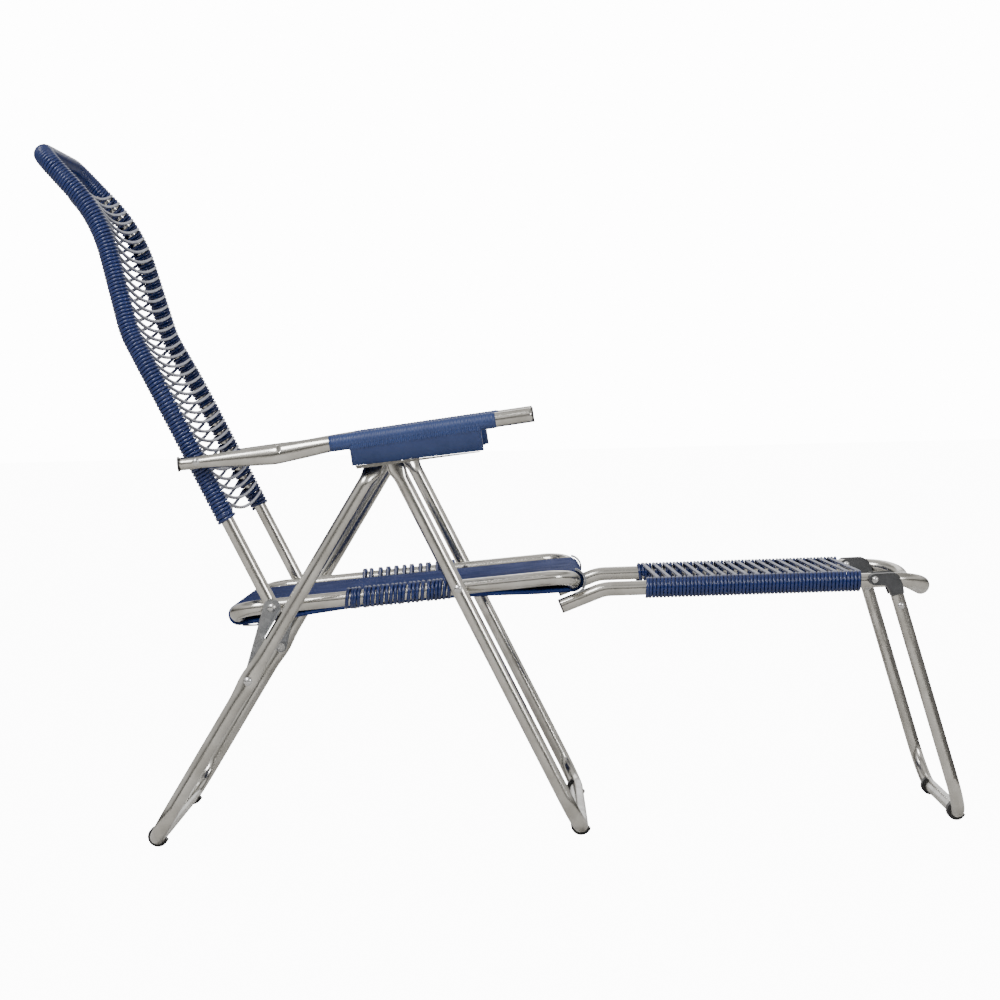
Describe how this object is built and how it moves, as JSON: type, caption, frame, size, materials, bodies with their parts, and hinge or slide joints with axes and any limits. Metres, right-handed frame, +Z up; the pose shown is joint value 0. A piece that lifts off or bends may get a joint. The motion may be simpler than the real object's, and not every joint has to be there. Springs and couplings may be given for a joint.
{
  "type": "folding lounger chair",
  "caption": "Folding beach lounger with a cord-wound seat and reclining back, armrests and a leg-supported footrest.",
  "frame": {"origin": "on the floor, midway along the chair and across it", "axes": "+X from the back towards the footrest, +Y to the sitter's left, +Z up"},
  "size_m": [1.3884, 0.6212, 1.0591],
  "materials": {
    "galvanised_tube": "bright galvanised tube, lightly streaked",
    "galvanised_plate": "galvanised sheet with a faint spangle",
    "fastener": "plated bolts and rivets",
    "cord": "glossy navy plastic cord",
    "black_plastic": "moulded plastic, satin",
    "blue_plastic": "moulded plastic, satin, ribbed",
    "grey_plastic": "charcoal moulded plastic"
  },
  "bodies": {
    "seat": {"seat_frame": "galvanised_tube", "seat_cord_band": "cord", "seat_cross_cords": "cord", "seat_spacers": "galvanised_plate", "seat_catch_wire": "galvanised_tube", "backrest_bolts": "fastener"},
    "front_legs": {"front_leg_frame": "galvanised_tube", "front_feet": "black_plastic", "leg_pins": "fastener", "leg_bolts": "fastener"},
    "rear_legs": {"rear_leg_frame": "galvanised_tube", "rear_feet": "black_plastic", "link_rivets": "fastener"},
    "link_plate_near": {"link_plate_near": "galvanised_plate", "link_caps_near": "fastener"},
    "link_plate_far": {"link_plate_far": "galvanised_plate", "link_caps_far": "fastener"},
    "backrest": {"backrest_frame": "galvanised_tube", "backrest_cord_sleeve": "cord", "backrest_cord_panel": "cord"},
    "armrest_near": {"armrest_tube_near": "galvanised_tube", "arm_rivet_near": "fastener", "arm_plugs_near": "black_plastic", "arm_pad_near": "blue_plastic", "rack_near": "galvanised_plate", "rack_strip_near": "galvanised_tube"},
    "armrest_far": {"armrest_tube_far": "galvanised_tube", "arm_rivet_far": "fastener", "arm_plugs_far": "black_plastic", "arm_pad_far": "blue_plastic", "rack_far": "galvanised_plate", "rack_strip_far": "galvanised_tube"},
    "footrest": {"footrest_frame": "galvanised_tube", "footrest_cord_sleeves": "cord", "footrest_cord_panel": "cord", "footrest_plugs": "black_plastic", "footrest_hooks": "galvanised_plate", "footrest_pins": "fastener"},
    "footrest_legs": {"footrest_leg_frame": "galvanised_tube", "elbow_near": "grey_plastic", "elbow_far": "grey_plastic", "elbow_rivets": "fastener", "footrest_feet": "black_plastic"}
  },
  "joints": [
    {"name": "fold", "type": "hinge", "parent": "seat", "child": "front_legs", "pos_m": [-0.065, 0, 0.378], "axis": [0, 1, 0], "range_deg": [0, 100]},
    {"name": "rear_leg_fold", "type": "hinge", "parent": "front_legs", "child": "rear_legs", "pos_m": [-0.1656, 0, 0.5877], "axis": [0, 1, 0], "range_deg": [-56, 0]},
    {"name": "link_near_fold", "type": "hinge", "parent": "rear_legs", "child": "link_plate_near", "pos_m": [-0.37562, -0.2774, 0.25145], "axis": [0, 1, 0], "range_deg": [-156, 0]},
    {"name": "link_far_fold", "type": "hinge", "parent": "rear_legs", "child": "link_plate_far", "pos_m": [-0.37562, 0.2774, 0.25145], "axis": [0, 1, 0], "range_deg": [-156, 0]},
    {"name": "backrest_fold", "type": "hinge", "parent": "seat", "child": "backrest", "pos_m": [-0.3395, 0, 0.35688], "axis": [0, 1, 0], "range_deg": [0, 90]},
    {"name": "arm_fold_near", "type": "hinge", "parent": "backrest", "child": "armrest_near", "pos_m": [-0.4428, -0.28, 0.5746], "axis": [0, 1, 0], "range_deg": [-95, 0]},
    {"name": "arm_fold_far", "type": "hinge", "parent": "backrest", "child": "armrest_far", "pos_m": [-0.4428, 0.28, 0.5746], "axis": [0, 1, 0], "range_deg": [-95, 0]},
    {"name": "footrest_tilt", "type": "hinge", "parent": "seat", "child": "footrest", "pos_m": [0.106, 0, 0.37916], "axis": [0, -1, 0], "range_deg": [0, 15]},
    {"name": "footrest_leg_fold", "type": "hinge", "parent": "footrest", "child": "footrest_legs", "pos_m": [0.555, 0, 0.3735], "axis": [0, 1, 0], "range_deg": [0, 100]}
  ],
  "couplings": [
    {"joint": "rear_leg_fold", "follows": "fold", "ratio": -0.5449},
    {"joint": "link_near_fold", "follows": "fold", "ratio": -1.5339},
    {"joint": "link_far_fold", "follows": "fold", "ratio": -1.5339},
    {"joint": "backrest_fold", "follows": "fold", "ratio": 0.88},
    {"joint": "arm_fold_near", "follows": "fold", "ratio": -0.92},
    {"joint": "arm_fold_far", "follows": "fold", "ratio": -0.92}
  ]
}
